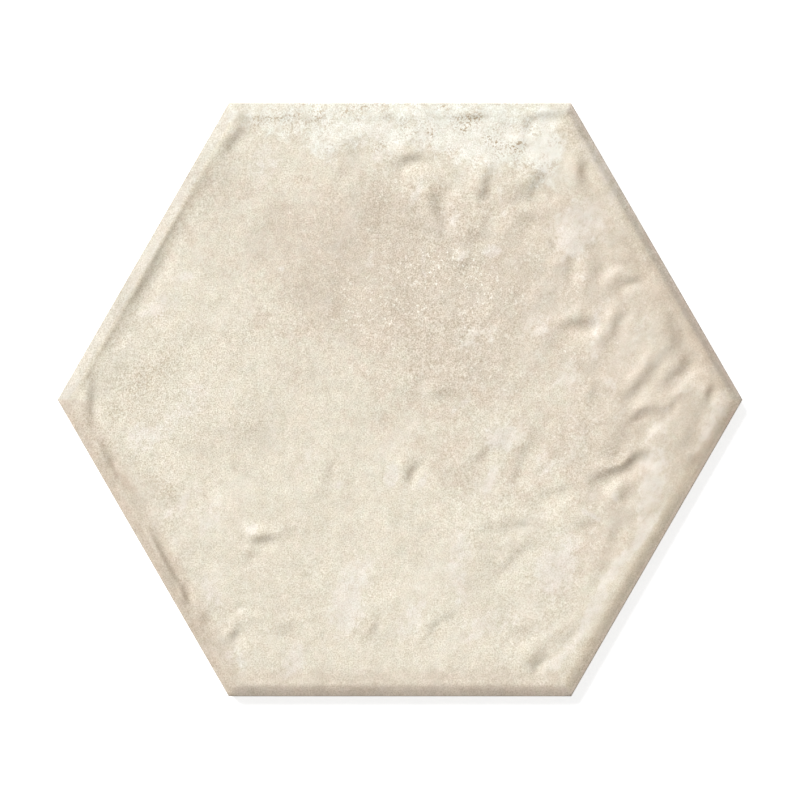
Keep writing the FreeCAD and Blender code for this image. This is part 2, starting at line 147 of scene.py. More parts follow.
FIELD_STROKES = [Stroke(*row) for row in (
    # broad swells between the folds
    (47.5, 85, 95, 7.5, 5.4, 0.36, 0),
    (19.5, 64, 100, 7, 3.4, 0.2, 0),
    (35, 70, 85, 7, 3.2, 0.2, 0),
    (53.5, 70, 75, 7, 4.4, 0.14, 0),
    (70, 54, 40, 9, 5, 0.2, 0),
    (73.5, 42.6, 25, 5.5, 3.2, 0.18, 0),
    (58, 52, 80, 5.5, 3.8, 0.2, 0),
    (62, 36.5, 60, 5.5, 4, 0.2, 0),
    (80.5, 31, 40, 7, 5, 0.26, 0),
    (67.5, 20.5, 65, 7, 4.2, 0.26, 0),
    (84.5, 18, 65, 9, 5, 0.36, 0),
    (73, 5, 60, 6, 4.4, 0.16, 0),
    (98, 6, 50, 8, 5, 0.22, 0),
    (88, 1.5, 60, 4, 3, 0.1, 0),
    (91, -11, 35, 10, 5, 0.26, 0),
    (84, -31, 60, 11, 5, 0.2, 0),
    (60.5, -10.5, 10, 7, 4.4, 0.08, 0),
    (62, -37, 165, 8, 4, 0.12, 0),
    (34, -13, 60, 7, 5, 0.12, 0),
    (51, 21.5, 60, 5, 4, 0.12, 0),
    # folds below the top edge
    (-16, 85, 40, 5, 3.6, 0, 0.12),
    (3, 81.6, 22, 4.2, 3, 0, 0.42),
    (41, 85.8, 10, 3.6, 2.4, 0, 0.28),
    (61.3, 77.2, 93, 4.8, 2.4, 0, 0.48),
    (12.2, 68.4, 95, 4, 4.2, 0, 0.42),
    (13.4, 61, 100, 5.4, 3, 0, 0.28),
    (29.8, 73.2, 84, 4.4, 3.4, 0, 0.44),
    (28.6, 70.6, 45, 2.6, 1.8, 0, 0.2),
    (27.6, 62.5, 85, 5.6, 3.6, 0, 0.16),
    (26.8, 55.5, 40, 3.6, 2.8, 0, 0.12),
    (45, 71.4, 30, 6.4, 3.6, 0, 0.48),
    (42.6, 60, 40, 4.8, 3.4, 0, 0.26),
    (20.5, 45.2, 35, 3.6, 2.8, 0, 0.16),
    (32, 51, 60, 4, 3.4, 0.08, 0),
    # folds of the right side, from the top down
    (50.8, 53.2, 110, 5, 2.6, 0, 0.22),
    (56.4, 45, 75, 3.8, 2.8, 0, 0.34),
    (65.5, 45, 97, 6.5, 3, 0, 0.34),
    (74, 46.2, 10, 3.8, 2.2, 0, 0.16),
    (77.8, 46.6, 115, 3.6, 2.2, 0, 0.14),
    (75, 38.8, 32, 4.8, 2.2, 0, 0.32),
    (49, 34.7, 60, 4.2, 3.2, 0, 0.2),
    (60.2, 26.6, 20, 4.6, 3, 0, 0.56),
    (72.2, 26.4, 68, 6, 2.2, 0, 0.38),
    (51, 20.7, 60, 4.4, 3.4, 0, 0.14),
    (90.4, 24.5, 105, 4.4, 3.4, 0, 0.38),
    (92, 18.6, 75, 5, 3.8, 0, 0.42),
    (95.6, 13.2, 60, 4.2, 3.2, 0, 0.4),
    (91.2, 7.4, 42, 4.8, 3, 0, 0.36),
    (85, 10.2, 68, 3.6, 2.2, 0, 0.42),
    (80.4, 4.8, 36, 3.8, 2, 0, 0.38),
    (66.2, 2, 100, 3.2, 2, 0, 0.32),
    (63, 8, 110, 3.6, 2.8, 0, 0.16),
    (81.6, -5.8, 26, 4, 2.2, 0, 0.44),
    (91, -2, 27, 7, 1.6, 0, 0.18),
    (104.6, 2.6, 72, 2.2, 1.4, 0, 0.34),
    (99, -4.5, 62, 4.2, 2.8, 0, 0.12),
    (73, -13.5, 80, 5.6, 4.4, 0, 0.22),
    (77.8, -20.6, 40, 4.2, 2.2, 0, 0.46),
    (70, -25, 27, 6, 2.4, 0, 0.46),
    (75.6, -31.8, 65, 3.2, 2, 0, 0.36),
    (65, -30.6, 90, 4.6, 2.8, 0, 0.18),
    (72.4, -42.6, 52, 4.8, 3, 0, 0.22),
    (68.8, -53, 72, 6.4, 3, 0, 0.13),
    (65, -64, 66, 6, 3, 0, 0.1),
    # folds that run out to the left of them
    (42.6, -15.5, 60, 5, 3, 0, 0.24),
    (38.6, -24.5, 75, 4.4, 2.8, 0, 0.18),
    (26.8, -19, 70, 3.4, 2.8, 0, 0.26),
    (51.5, -31.2, 22, 6.5, 2.8, 0, 0.2),
    (38.4, -41.9, 8, 6, 3, 0, 0.26),
    (61, -42.4, 15, 6.5, 3, 0, 0.14),
    (42.4, -49, 35, 5, 3, 0, 0.18),
    (35, -56.5, 50, 5, 3, 0, 0.14),
    (27.6, -48, 85, 6, 3, 0, 0.08),
    (57.2, -77.4, 44, 4.2, 2.2, 0, 0.22),
    (51.2, -82.2, 44, 4, 2.6, 0, 0.16),
    (45.8, -87.4, 50, 3.2, 2.8, 0, 0.36),
    (42.7, -78.2, 30, 4.2, 3, 0, 0.12),
    # single marks on the smooth part: a fold, a pimple and small folds
    (3.4, -24, 74, 3, 1.8, 0, 0.34),
    (-49.4, -44.2, 25, 2.6, 1.7, 0.5, 0),
    (-46.2, -46.6, 8, 3.6, 1.8, 0, 0.3),
    (-50.6, -52.3, 30, 3.4, 2.8, 0, 0.14),
    (5.4, 6, 60, 4.4, 3, 0, 0.14),
    (14, 2, 10, 4.6, 3.4, 0, 0.14),
    (-25, -26, 75, 6.4, 3, 0, 0.12),
    (-10, -77.5, 65, 3.8, 2.4, 0, 0.22),
    (-9, -62, 20, 4, 2.6, 0, 0.1),
    (12, -75, 45, 6.6, 3.2, 0, 0.2),
    (-56.2, -78.8, 40, 2.6, 2, 0, 0.36),
    (-53.4, -73, 176, 5, 1.2, 0, 0.16),
    (-66.5, -74.5, 60, 3, 2.4, 0, 0.2),
    (-37, -77, 10, 4, 2.6, 0, 0.12),
    (-36, -44.6, 10, 5, 2.6, 0, 0.1),
    (-95, 10, 70, 5, 4, 0, 0.1),
)]

# Thin creases and small marks, finer than the source has them.
CREASES = [Stroke(*row) for row in (
    # on the right, from the top down
    (60.9, 77, 88, 4, 1.3, 0, 0.14),
    (56.6, 44.8, 70, 1.9, 1.3, 0, 0.08),
    (66, 44.6, 98, 3.6, 1.1, 0, 0.07),
    (75.3, 38.8, 36, 2.6, 0.9, 0, 0.08),
    (61.4, 26.4, 20, 3.2, 1.3, 0, 0.13),
    (72, 24.5, 74, 3.6, 0.8, 0, 0.08),
    (91.6, 22.5, 95, 3.6, 0.9, 0, 0.08),
    (95, 13.6, 100, 2, 1.3, 0, 0.1),
    (93.5, 9.6, 42, 3.6, 1.2, 0, 0.07),
    (84, 10.5, 78, 2.6, 1, 0, 0.1),
    (80.4, 5.2, 36, 4, 1, 0, 0.09),
    (104.2, 2.8, 74, 1.9, 0.8, 0, 0.1),
    (80.6, -6.2, 22, 2.8, 1, 0, 0.1),
    (88.4, -3, 22, 5, 0.6, 0, 0.05),
    (91, -12.2, 0, 3, 0.7, 0, 0.04),
    (98.2, -14.6, 124, 1.8, 0.7, 0, 0.06),
    (77.2, -20.2, 42, 3.2, 1.1, 0, 0.13),
    (70, -24.2, 28, 5, 0.8, 0, 0.06),
    (75.4, -32.6, 66, 2, 0.9, 0, 0.09),
    (83, -38, 10, 5, 0.6, 0, 0.05),
    (49.5, -31.4, 20, 6, 0.9, 0, 0.05),
    (64.8, -41.8, 15, 3.4, 1, 0, 0.05),
    (40.5, -50.5, 42, 3.4, 0.9, 0, 0.05),
    (35.2, -56.8, 45, 2.2, 0.9, 0, 0.06),
    (55.2, -77.2, 45, 3.4, 1.1, 0, 0.06),
    (45.2, -87, 46, 3.4, 1.8, 0, 0.16),
    # below the top edge
    (44.5, 94.6, 22, 4, 1.1, 0, 0.07),
    (24, 95.3, 1, 8, 0.7, 0, 0.05),
    (29.2, 70.9, 32, 1.9, 0.9, 0, 0.1),
    (28.4, 74.2, 84, 3, 1.1, 0, 0.06),
    (13, 66, 96, 4, 1.4, 0, 0.05),
    (4, 82.2, 25, 2.6, 1.4, 0, 0.09),
    (-4.8, 95, 30, 3, 1, 0, 0.05),
    (-15.5, 87.9, 14, 4, 1.2, 0, 0.05),
    # on the smooth part
    (19.5, -6.2, 35, 7, 0.6, 0, 0.05),
    (3.8, -24.2, 70, 2.8, 1.2, 0, 0.15),
    (26.8, -19, 74, 2, 1.1, 0, 0.1),
    (-24, -23.6, 60, 3.6, 0.7, 0, 0.06),
    (-10.3, -78.2, 55, 2.6, 0.9, 0, 0.09),
    (8.8, -79.5, 52, 4.4, 0.6, 0, 0.07),
    (-46, -46.2, 10, 3.2, 1.4, 0, 0.16),
    (-50.4, -52.2, 20, 1.3, 1.1, 0, 0.06),
    (-56.6, -78.6, 28, 1.8, 1, 0, 0.1),
    (-53, -73.2, 178, 4.5, 0.6, 0, 0.04),
    (-57.8, 85.2, 130, 1, 0.7, 0, 0.22),
    # the bottom line of the groove inside the left rim
    (-74.8, 61, 60, 8, 0.7, 0, 0.08),
    (-81.5, 49.6, 60, 7, 0.8, 0, 0.1),
    (-88.2, 36.6, 60, 4, 1.1, 0, 0.11),
    (-94, 27.4, 61, 4.5, 0.8, 0, 0.07),
    (-99.6, 17.6, 61, 5, 0.7, 0, 0.05),
    (-104.6, 8.6, 62, 3.6, 0.7, 0, 0.05),
    (-104.2, -4.5, 91, 7, 1, 0, 0.08),
    (-96.6, -9, 90, 5.5, 0.6, 0, 0.04),
    (-100.6, -14.6, 130, 2.4, 0.8, 0, 0.07),
    (-96.9, -21.8, 109, 3.8, 0.9, 0, 0.1),
    (-82.6, -47.4, 119, 3.6, 0.8, 0, 0.07),
    (-79.2, -53.8, 117, 4, 0.9, 0, 0.09),
    (-75.8, -60.2, 119, 4, 0.9, 0, 0.1),
    (-72.4, -66.4, 112, 2.8, 1.2, 0, 0.13),
)]

CREASE_RELIEF = 0.5  # the rest of their darkness is painted shade, from the crease tint

# The slow swell of the whole face: its height, its wavelength and its heading in degrees.
Swell = namedtuple("Swell", "height wavelength heading")
SWELLS = [
    Swell(0.05, 78.0, 25.0),
    Swell(0.04, 54.0, 110.0),
    Swell(0.025, 37.0, 160.0),
]

# The lumps in the glaze are strongest towards the upper right.
LIVELY_X = 0.8
LIVELY_Y = 0.45
LIVELY_START = -5.0
LIVELY_RUN = 60.0
QUIET_LUMPS = 0.25  # their strength on the smooth side
EDGE_CALM = 6.0  # over this distance from the side the fine relief fades
EDGE_LEAST = 0.15  # to this share of it


def hex_distance(x, y):
    """Distance in from the nearest side, softened at the mitres."""
    total = 0.0
    for k in range(6):
        normal = math.radians(30.0 + 60.0 * k)
        inside = HALF - x * math.cos(normal) - y * math.sin(normal)
        total = total + np.exp(-np.minimum(inside, FAR_IN) / MITRE_BLEND)
    return -MITRE_BLEND * np.log(total)


def oval_frame(oval, x, y, spread=0.0):
    """How far along and to the left of an oval's middle points lie, 1 at its outline."""
    turn = math.radians(oval.turn)
    off_x = x - oval.x
    off_y = y - oval.y
    along = (off_x * math.cos(turn) + off_y * math.sin(turn)) / (oval.length + spread)
    left = (off_y * math.cos(turn) - off_x * math.sin(turn)) / (oval.width + spread)
    return along, left


def fade(reach):
    """1 in the middle, and nothing far out."""
    return np.exp(-np.minimum(reach, FADED_OUT))


def stroke_height(stroke, x, y, spread=0.0):
    """What one stroke adds, before the gain; its fold is the height of each of its two slopes."""
    along, left = oval_frame(stroke, x, y, spread)
    slope = stroke.fold * left * math.sqrt(2 * math.e)
    return (stroke.height + slope) * fade(along * along + left * left)


def perlin(x, y, size, seed):
    """Perlin noise of that grain size, from about -0.5 to 0.5."""
    points = np.column_stack((x / size, y / size))
    return np.array([noise.noise(Vector((px, py, seed))) for px, py in points])


def layered(layers, x, y):
    """The sum of some layers of Perlin noise."""
    return sum(layer.strength * perlin(x, y, layer.size, layer.seed) for layer in layers)


def face_height(x, y):
    """Height of the face, as the part's source has it, and the distance in from the side."""
    inside = hex_distance(x, y)
    curve = CUSHION_WIDTH - CUSHION_STRAIGHT
    into = np.maximum(CUSHION_WIDTH - inside, 0.0)
    drop = np.where(into > curve, into - curve / 2, into * into / (2 * curve))
    past_rim = np.maximum(inside - RIM_WIDTH, 0.0) / RIM_FALL
    dip = FIELD_DIP * (1 - x / CORNER) / 2 * (1 - np.exp(-past_rim * past_rim))
    height = THICKNESS - CUSHION_DROP * drop / (CUSHION_WIDTH - curve / 2) - dip
    in_field = np.clip(past_rim, 0.0, 1.0)
    on_rim = np.clip(inside / RIM_WIDTH, 0.0, 1.0)
    for swell in SWELLS:
        heading = math.radians(swell.heading)
        travel = x * math.cos(heading) + y * math.sin(heading)
        height = height + in_field * swell.height * np.sin(2 * math.pi * travel / swell.wavelength)
    # the hand that pressed the clay is not as smooth as the strokes: they waver a little
    bent_x = x + in_field * layered(WAVER_X, x, y)
    bent_y = y + in_field * layered(WAVER_Y, x, y)
    relief = on_rim * sum(stroke_height(s, x, y) for s in RIM_STROKES)
    relief += in_field * sum(stroke_height(s, bent_x, bent_y, STROKE_SPREAD) for s in FIELD_STROKES)
    return height + STROKE_GAIN * relief, inside


def fine_relief(x, y, inside):
    """The small relief of the glaze: creases, soft lumps and orange peel."""
    creases = sum(stroke_height(crease, x, y) for crease in CREASES)
    lively = np.clip((LIVELY_X * x + LIVELY_Y * y - LIVELY_START) / LIVELY_RUN, 0.0, 1.0)
    lumps = (QUIET_LUMPS + (1 - QUIET_LUMPS) * lively) * layered(LUMPS, x, y)
    calm = np.clip(inside / EDGE_CALM, EDGE_LEAST, 1.0)
    return CREASE_RELIEF * creases + calm * (lumps + layered(PEEL, x, y))


def arris_drop(inside):
    """How far the rounding of the arris takes the face down."""
    reach = np.clip(ARRIS - inside, 0.0, ARRIS)
    return ARRIS - np.sqrt(np.maximum(ARRIS * ARRIS - reach * reach, 0.0))


def face_steps():
    """Grid lines of the face from the middle to the side, closer together at the edge."""
    field = np.linspace(0.0, FIELD_REACH, FIELD_LINES)
    cushion = np.linspace(FIELD_REACH, CUSHION_REACH, CUSHION_LINES)[1:]
    return np.concatenate((field, cushion, HALF - np.array(ARRIS_LINES)))


def face_points(top):
    """The grid of the face, three rhombs that meet in the middle."""
    steps = face_steps()
    out, over = np.meshgrid(steps, steps, indexing="ij")
    grids = []
    for k in range(3):
        near = math.radians(120.0 * k)
        far = near + math.radians(120.0)
        x = (out * math.cos(near) + over * math.cos(far)).ravel() / COS_30
        y = (out * math.sin(near) + over * math.sin(far)).ravel() / COS_30
        z, inside = face_height(x, y)
        z = z + fine_relief(x, y, inside) - arris_drop(inside)
        grids.append(np.column_stack((x, y, np.minimum(z, top))))
    return grids, len(steps)


def seam_key(rhomb, i, j):
    """A name for a grid point that rhombs share, and None for any other."""
    if i == 0 and j == 0:
        return "middle"
    if i == 0:
        return (rhomb + 1) % 3, j
    if j == 0:
        return rhomb, i
    return None


def rhomb_verts(bm, rhomb, points, count, shared):
    """The vertices of one rhomb, those on its seams made only once."""
    verts = {}
    for i in range(count):
        for j in range(count):
            key = seam_key(rhomb, i, j)
            if key in shared:
                verts[i, j] = shared[key]
                continue
            verts[i, j] = bm.verts.new(points[i * count + j] * MM)
            if key is not None:
                shared[key] = verts[i, j]
    return verts


def add_face(bm, top):
    """The glazed face; gives back its rim vertices in order round the tile."""
    grids, count = face_points(top)
    last = count - 1
    shared = {}
    rim = []
    for rhomb, points in enumerate(grids):
        verts = rhomb_verts(bm, rhomb, points, count, shared)
        for i in range(last):
            for j in range(last):
                bm.faces.new((verts[i, j], verts[i + 1, j], verts[i + 1, j + 1], verts[i, j + 1]))
        rim += [verts[last, j] for j in range(count)]
        rim += [verts[i, last] for i in range(last - 1, 0, -1)]
    return rim


def side_profile(x, y):
    """Height and inset of each row of the side below that place on the rim."""
    wave = noise.noise(Vector((x / GLAZE_WAVE, y / GLAZE_WAVE, 4.0)))
    glaze_end = GLAZE_LINE + GLAZE_WAVER * wave
    return (
        (glaze_end + GLAZE_END, 0.0),
        (glaze_end, 0.3 * GLAZE_BEAD),
        (glaze_end - GLAZE_END, GLAZE_BEAD),
        (SKIRT_HEIGHT, GLAZE_BEAD),
        (SKIRT_HEIGHT / 2, SKIRT_INSET / 2 + GLAZE_BEAD),
        (BACK_ARRIS, SKIRT_INSET * (1 - BACK_ARRIS / SKIRT_HEIGHT) + GLAZE_BEAD),
        (0.0, SKIRT_INSET + BACK_ARRIS),
    )


def add_side(bm, rim):
    """The side, from the rim down to the back; gives back the loop round the back."""
    places = [(vert.co.x / MM, vert.co.y / MM) for vert in rim]
    profiles = [side_profile(x, y) for x, y in places]
    loops = [rim]
    for row in range(len(profiles[0])):
        loop = []
        for (x, y), profile in zip(places, profiles):
            height, inset = profile[row]
            shrink = (HALF - inset) / HALF
            loop.append(bm.verts.new((x * shrink * MM, y * shrink * MM, height * MM)))
        loops.append(loop)
    size = len(rim)
    for upper, lower in zip(loops, loops[1:]):
        for n in range(size):
            m = (n + 1) % size
            bm.faces.new((upper[n], lower[n], lower[m], upper[m]))
    return loops[-1]


def cell_centres():
    """Centres of the keying cells: rings round the middle, with none in it."""
    centres = []
    for a in range(-CELL_RINGS, CELL_RINGS + 1):
        for b in range(-CELL_RINGS, CELL_RINGS + 1):
            if (a or b) and abs(a + b) <= CELL_RINGS:
                x = CELL_PITCH * (a + b / 2)
                centres.append((x, CELL_PITCH * b * math.sin(math.pi / 3)))
    return centres


def cell_loop(bm, centre, apothem, depth, radius):
    """One hexagonal loop of a keying cell, with three points round each corner."""
    loop = []
    reach = (apothem - radius) / COS_30
    for k in range(6):
        corner = math.radians(30.0 + 60.0 * k)
        for turn in (-30.0, 0.0, 30.0):
            lean = corner + math.radians(turn)
            x = centre[0] + reach * math.cos(corner) + radius * math.cos(lean)
            y = centre[1] + reach * math.sin(corner) + radius * math.sin(lean)
            loop.append(bm.verts.new((x * MM, y * MM, depth * MM)))
    return loop


def add_cell(bm, centre):
    """The walls and the floor of a keying cell; gives back the loop round its mouth."""
    rows = []
    for outset, depth, radius in CELL_PROFILE:
        rows.append(cell_loop(bm, centre, CELL_APOTHEM + outset, depth, radius))
    count = len(rows[0])
    for outer, inner in zip(rows, rows[1:]):
        for n in range(count):
            m = (n + 1) % count
            bm.faces.new((outer[m], outer[n], inner[n], inner[m]))
    bm.faces.new(rows[-1][::-1])
    return rows[0]


def loop_edges(bm, loop):
    """The edges of a closed loop of vertices."""
    return [bm.edges.get(pair) for pair in zip(loop, loop[1:] + loop[:1])]


def add_back(bm, outline):
    """The back: a flat land with the keying cells let into it."""
    edges = loop_edges(bm, outline)
    for centre in cell_centres():
        edges += loop_edges(bm, add_cell(bm, centre))
    bmesh.ops.triangle_fill(bm, use_beauty=True, edges=edges, normal=(0.0, 0.0, -1.0))


def build_tile():
    """The whole tile as one closed mesh."""
    bm = bmesh.new()
    top = cad_box[1][2] / MM
    rim = add_face(bm, top)
    outline = add_side(bm, rim)
    add_back(bm, outline)
    bmesh.ops.recalc_face_normals(bm, faces=bm.faces[:])
    bm.normal_update()
    for face in bm.faces:
        face.smooth = True
    for edge in bm.edges:
        if len(edge.link_faces) == 2 and edge.calc_face_angle(0.0) > math.radians(SHARP_ANGLE):
            edge.smooth = False
    mesh = bpy.data.meshes.new("glazed_tile")
    bm.to_mesh(mesh)
    bm.free()
    tile = bpy.data.objects.new("glazed_tile", mesh)
    bpy.context.scene.collection.objects.link(tile)
    return tile


def linear(colour):
    """A colour written as on screen, 0 to 255, as the linear values that a shader takes."""
    values = []
    for part in colour:
        part = part / 255
        values.append(part / 12.92 if part <= 0.04045 else ((part + 0.055) / 1.055) ** 2.4)
    return (*values, 1.0)


class Graph:
    """Short names for the shader nodes of one material."""

    def __init__(self, material):
        self.tree = material.node_tree
        self.nodes = self.tree.nodes

    def put(self, socket, value):
        """Links a value that is a socket, and sets any other."""
        if hasattr(value, "is_output"):
            self.tree.links.new(value, socket)
        else:
            socket.default_value = value

    def math(self, operation, a, b, clamp=False):
        node = self.nodes.new("ShaderNodeMath")
        node.operation = operation
        node.use_clamp = clamp
        self.put(node.inputs[0], a)
        self.put(node.inputs[1], b)
        return node.outputs[0]

    def absolute(self, value):
        return self.math("ABSOLUTE", value, 0.0)

    def less(self, value, taken):
        return self.math("SUBTRACT", value, taken)

    def add(self, *terms):
        total = terms[0]
        for term in terms[1:]:
            total = self.math("ADD", total, term)
        return total

    def times(self, *terms):
        total = terms[0]
        for term in terms[1:]:
            total = self.math("MULTIPLY", total, term)
        return total

    def about(self, field, weight=1.0):
        """How far a noise lies from its middle, by its weight."""
        return self.times(self.less(field, 0.5), weight)

    def ease(self, value, start, full):
        """A soft step from nothing at start to 1 at full."""
        node = self.nodes.new("ShaderNodeMapRange")
        node.interpolation_type = "SMOOTHSTEP"
        self.put(node.inputs["Value"], value)
        node.inputs["From Min"].default_value = start
        node.inputs["From Max"].default_value = full
        return node.outputs["Result"]

    def mix(self, share, first, second, blend="MIX"):
        node = self.nodes.new("ShaderNodeMix")
        node.data_type = "RGBA"
        node.blend_type = blend
        self.put(node.inputs[0], share)
        self.put(node.inputs[6], first)
        self.put(node.inputs[7], second)
        return node.outputs[2]

    def laid_over(self, colour, share, paint):
        """The colour with that share of a paint over it."""
        return self.mix(share, colour, linear(paint))

    def tinted(self, colour, share, tint):
        """The colour multiplied by that share of a tint."""
        return self.mix(share, colour, (*tint, 1.0), "MULTIPLY")

    def shaded(self, colour, level, strength):
        """The colour made lighter or darker by level, in each channel by its strength."""
        factor = self.nodes.new("ShaderNodeVectorMath")
        factor.operation = "MULTIPLY_ADD"
        self.put(factor.inputs[0], level)
        factor.inputs[1].default_value = strength
        factor.inputs[2].default_value = (1.0, 1.0, 1.0)
        product = self.nodes.new("ShaderNodeVectorMath")
        product.operation = "MULTIPLY"
        self.put(product.inputs[0], colour)
        self.put(product.inputs[1], factor.outputs[0])
        return product.outputs[0]

    def attribute(self, name):
        node = self.nodes.new("ShaderNodeAttribute")
        node.attribute_name = name
        return node.outputs["Fac"]

    def noise(self, vector, size, detail, roughness, seed=0.0):
        node = self.nodes.new("ShaderNodeTexNoise")
        node.noise_dimensions = "4D"
        node.inputs["W"].default_value = seed
        self.put(node.inputs["Vector"], vector)
        node.inputs["Scale"].default_value = 1.0 / size
        node.inputs["Detail"].default_value = detail
        node.inputs["Roughness"].default_value = roughness
        return node.outputs[0]

    def along(self, vector, direction):
        node = self.nodes.new("ShaderNodeVectorMath")
        node.operation = "DOT_PRODUCT"
        self.put(node.inputs[0], vector)
        node.inputs[1].default_value = direction
        return node.outputs["Value"]


def millimetres(graph):
    """The surface point in the tile's own frame, in millimetres."""
    place = graph.nodes.new("ShaderNodeTexCoord")
    scale = graph.nodes.new("ShaderNodeVectorMath")
    scale.operation = "SCALE"
    graph.put(scale.inputs[0], place.outputs["Object"])
    scale.inputs["Scale"].default_value = 1 / MM
    return scale.outputs[0]


def brushed(graph, point, heading, stretch):
    """The same point in a frame that stretches noise along a heading."""
    turn = math.radians(heading)
    axes = (
        (math.cos(turn) / stretch, math.sin(turn) / stretch, 0.0),
        (-math.sin(turn), math.cos(turn), 0.0),
        (0.0, 0.0, 1.0),
    )
    brush = graph.nodes.new("ShaderNodeCombineXYZ")
    for n, axis in enumerate(axes):
        graph.put(brush.inputs[n], graph.along(point, axis))
    return brush.outputs[0]


def side_frame(graph, point, angle):
    """Distance in from the side that faces along angle, and how far it is the nearest side."""
    turn = math.radians(angle)
    reach = graph.along(point, (math.cos(turn), math.sin(turn), 0.0))
    sideways = graph.along(point, (-math.sin(turn), math.cos(turn), 0.0))
    to_mitre = graph.times(reach, math.tan(math.pi / 6))
    margin = graph.less(to_mitre, graph.absolute(sideways))
    return graph.less(HALF, reach), graph.ease(margin, -MITRE_SOFTNESS, MITRE_SOFTNESS)


# The tints along each side, by the angle that it faces: how far in they start to fade, where they
# end, and the tint. Partly the glaze's own tan along the rims, partly painted light: tints above 1
# are painted highlights, the grey tints near 0.8 are painted shade on the outer slope and in the
# groove, and the warm bands are partly painted shade, deeper on the sides turned from the key light.
SIDE_TINTS_AND_SHADING = {
    30: (
        (7.5, 13.0, (0.94, 0.92, 0.9)),
        (4.0, 5.5, (0.93, 0.92, 0.91)),
        (2.2, 3.6, (0.8, 0.8, 0.82)),
        (0.9, 1.4, (1.12, 1.1, 1.12)),
    ),
    90: (
        (5.0, 8.0, (0.96, 0.97, 0.97)),
        (2.8, 4.4, (0.93, 0.945, 0.96)),
    ),
    150: (
        (11.0, 14.5, (0.93, 0.93, 0.93)),
        (6.0, 8.5, (1.1, 1.1, 1.09)),
        (2.9, 4.2, (0.8, 0.805, 0.83)),
    ),
    210: (
        (9.0, 16.0, (0.97, 0.965, 0.965)),
        (6.3, 10.3, (0.915, 0.88, 0.865)),
        (2.4, 3.4, (0.95, 0.93, 0.925)),
        (0.8, 1.2, (1.025, 1.025, 1.025)),
    ),
    270: (
        (6.5, 11.0, (0.9, 0.865, 0.855)),
        (2.8, 4.6, (0.88, 0.85, 0.85)),
    ),
    330: (
        (8.0, 13.0, (0.96, 0.95, 0.94)),
        (3.4, 6.2, (0.885, 0.84, 0.8)),
        (0.9, 1.4, (1.11, 1.09, 1.12)),
    ),
}

# A soft-edged oval patch of one tone of the glaze: middle, turn, half length, half width, strength.
Patch = namedtuple("Patch", "x y turn length width strength")

# the sandy, slightly pink glaze over the upper middle and the right
SAND = [Patch(*row) for row in (
    (-16, 44, 5, 38, 32, 0.8),
    (26, 40, -5, 42, 36, 0.66),
    (14, 4, 35, 38, 22, 0.45),
    (30, -24, 20, 26, 16, 0.4),
    (74, 34, 120, 44, 24, 0.7),
    (74, -6, 80, 40, 26, 0.7),
    (98, 0, 90, 30, 22, 0.5),
    (-66, 66, 60, 22, 12, 0.4),
    (66, -48, 60, 30, 12, 0.4),
    (-90, -31, 120, 11, 4.5, 0.4),
)]
# the frosted white glaze along the top; the patch at (48, 84) also paints light over the shaded
# slope of the swell there
FROST = [Patch(*row) for row in (
    (-30, 94, 0, 34, 9, 0.6),
    (8, 91.5, 0, 26, 10, 0.75),
    (34, 88, 0, 20, 12, 0.9),
    (47, 85, 95, 12, 8, 0.95),
    (48, 84, 95, 7.5, 4.6, 1),
    (-26, 85, 80, 6, 5, 0.7),
)]
